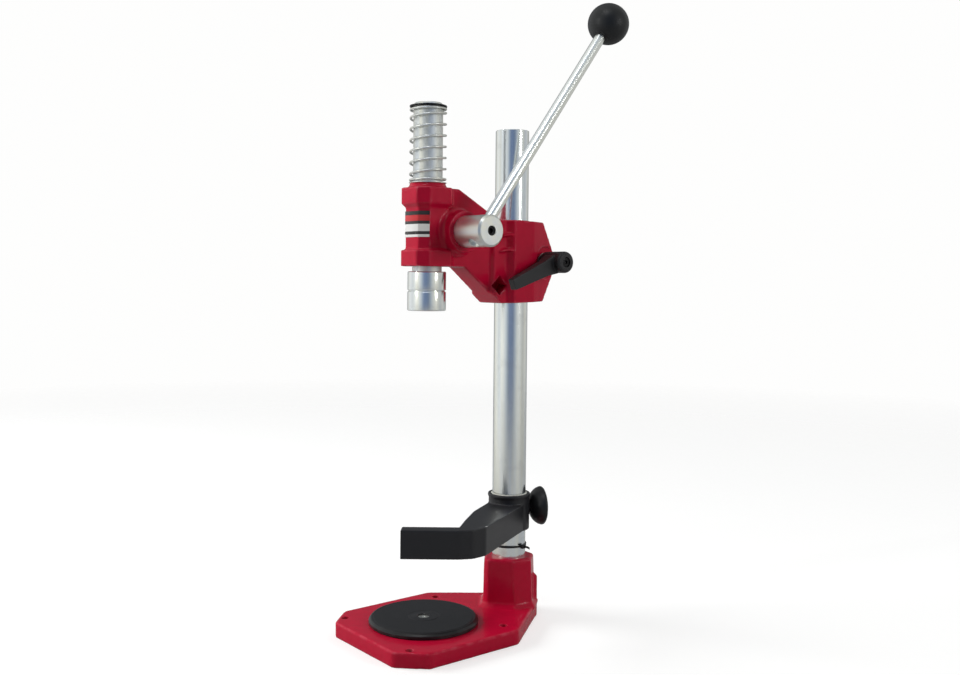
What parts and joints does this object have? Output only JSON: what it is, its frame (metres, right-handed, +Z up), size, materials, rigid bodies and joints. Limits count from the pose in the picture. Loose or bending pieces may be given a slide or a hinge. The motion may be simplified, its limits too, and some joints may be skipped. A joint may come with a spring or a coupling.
{
  "type": "capping machine",
  "caption": "Bench crown-capping press: lever, pinion and rack drive a sprung ram in a head that clamps to a round column on a cast base.",
  "frame": {"origin": "bench plane, centre of the square of four bench holes, which is also the axis of the ram and of the bottle", "axes": "+Z up, the operator's front is -Y, the column is behind at +Y, the lever side is +X"},
  "size_m": [0.155, 0.296, 0.6645],
  "materials": {
    "red_paint": "glossy crimson stoved paint over a cast surface",
    "chrome": "bright chrome with fine turning marks",
    "zinc": "bright zinc-plated or ground steel",
    "black_oxide": "blackened steel",
    "black_rubber": "satin moulded rubber",
    "gloss_black": "glossy moulded plastic",
    "satin_black": "satin moulded plastic with a fine texture",
    "knob_black": "satin thermoset plastic",
    "nylon": "smooth nylon",
    "liner_white": "natural nylon",
    "label_film": "printed film with plain black, red and white bands",
    "brass": "turned brass"
  },
  "bodies": {
    "root": {"base_casting": "red_paint", "column": "chrome", "column_set_screws": "black_oxide", "bottle_rest": "black_rubber", "rest_screw": "zinc", "cable_tie": "nylon"},
    "head": {"head_casting": "red_paint", "label": "label_film", "spring_washer": "zinc", "return_spring": "zinc", "clamp_nut": "black_oxide", "clamp_washer": "zinc"},
    "lever": {"pinion_shaft": "zinc", "lever_rod": "chrome", "ball_knob": "knob_black", "knob_insert": "brass", "lever_set_screw": "black_oxide", "shaft_washer": "zinc", "shaft_circlip": "black_oxide"},
    "ram": {"ram": "zinc", "ram_circlip": "black_oxide", "die_holder": "chrome", "crimping_die": "chrome", "plunger_spring": "zinc"},
    "plunger": {"cap_plunger": "zinc", "cap_magnet": "black_oxide"},
    "clamp_screw": {"clamp_stud": "zinc", "clamp_hub": "black_oxide", "clamp_handle_screw": "black_oxide", "clamp_handle_spring": "zinc"},
    "clamp_handle": {"clamp_handle": "satin_black"},
    "arm_slider": {"arm_liner": "liner_white"},
    "arm": {"bottle_arm": "gloss_black"},
    "arm_screw": {"arm_knob": "knob_black", "arm_knob_stud": "zinc"}
  },
  "joints": [
    {"name": "head_height", "type": "slide", "parent": "root", "child": "head", "axis": [0, 0, 1], "range_m": [-0.12, 0.085]},
    {"name": "lever_turn", "type": "hinge", "parent": "head", "child": "lever", "pos_m": [0, 0.026, 0.41], "axis": [1, 0, 0], "range_deg": [0, 140]},
    {"name": "ram_travel", "type": "slide", "parent": "head", "child": "ram", "axis": [0, 0, -1], "range_m": [0, 0.0345], "stiffness_N_per_m": 1500, "springref_m": -0.018, "deforming": ["return_spring"]},
    {"name": "plunger_travel", "type": "slide", "parent": "ram", "child": "plunger", "axis": [0, 0, 1], "range_m": [0, 0.006], "stiffness_N_per_m": 900, "springref_m": -0.005, "deforming": ["plunger_spring"]},
    {"name": "clamp_turn", "type": "hinge", "parent": "head", "child": "clamp_screw", "pos_m": [0, 0.144, 0.381], "axis": [1, 0, 0], "range_deg": [-60, 90]},
    {"name": "clamp_lift", "type": "slide", "parent": "clamp_screw", "child": "clamp_handle", "axis": [1, 0, 0], "range_m": [0, 0.004], "stiffness_N_per_m": 1500, "springref_m": -0.003, "deforming": ["clamp_handle_spring"]},
    {"name": "arm_height", "type": "slide", "parent": "root", "child": "arm_slider", "axis": [0, 0, 1], "range_m": [-0.012, 0.08]},
    {"name": "arm_swing", "type": "hinge", "parent": "arm_slider", "child": "arm", "pos_m": [0, 0.112, 0.113], "axis": [0, 0, 1], "range_deg": [-6, 75]},
    {"name": "arm_screw_turn", "type": "hinge", "parent": "arm", "child": "arm_screw", "pos_m": [0, 0.112, 0.1164], "axis": [0.4067, 0.9135, 0], "continuous": true}
  ],
  "couplings": [
    {"joint": "ram_travel", "follows": "lever_turn", "m_per_rad": 0.014}
  ]
}
